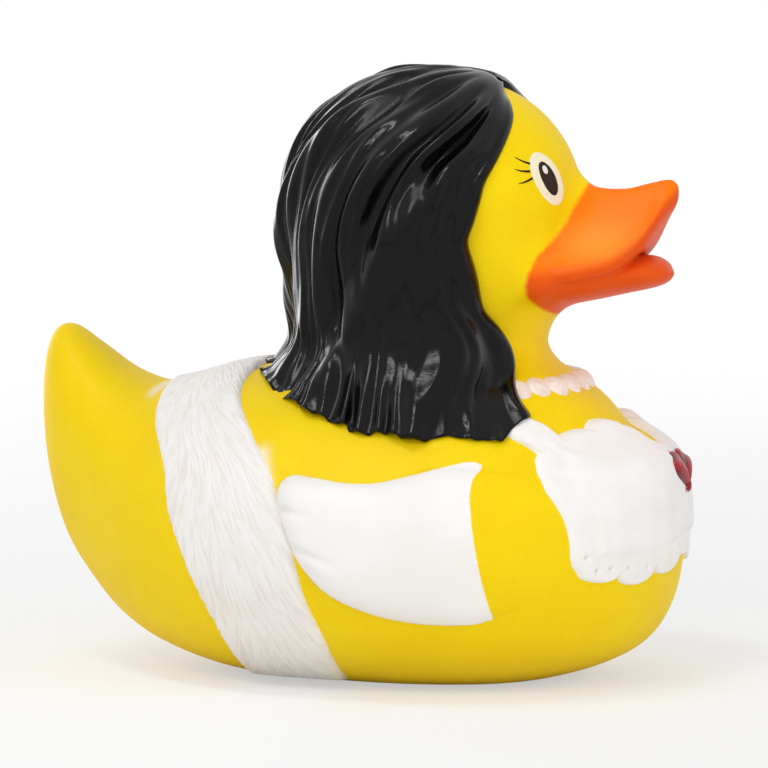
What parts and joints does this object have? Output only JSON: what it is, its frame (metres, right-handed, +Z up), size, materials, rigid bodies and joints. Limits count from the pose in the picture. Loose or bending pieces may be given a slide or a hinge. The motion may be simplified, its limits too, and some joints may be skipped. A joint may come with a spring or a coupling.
{
  "type": "rubber duck",
  "caption": "Hollow cast vinyl bath duck with long hair, a fur stole, gloved wings, a lace bib, a pearl necklace and a red bow, standing on a flat base",
  "frame": {"origin": "on the flat base, under the middle of the length and width", "axes": "+X is where the beak points, +Y is the duck's left side, +Z is up; the duck is the same on both sides of the XZ plane"},
  "size_m": [0.1028, 0.0752, 0.0943],
  "materials": {
    "yellow_vinyl": "satin cast vinyl",
    "black_hair_paint": "gloss paint on vinyl",
    "white_paint": "satin paint on vinyl",
    "pearl_paint": "satin paint on vinyl",
    "red_paint": "satin paint on vinyl"
  },
  "bodies": {
    "root": {"duck": "yellow_vinyl"}
  },
  "joints": []
}
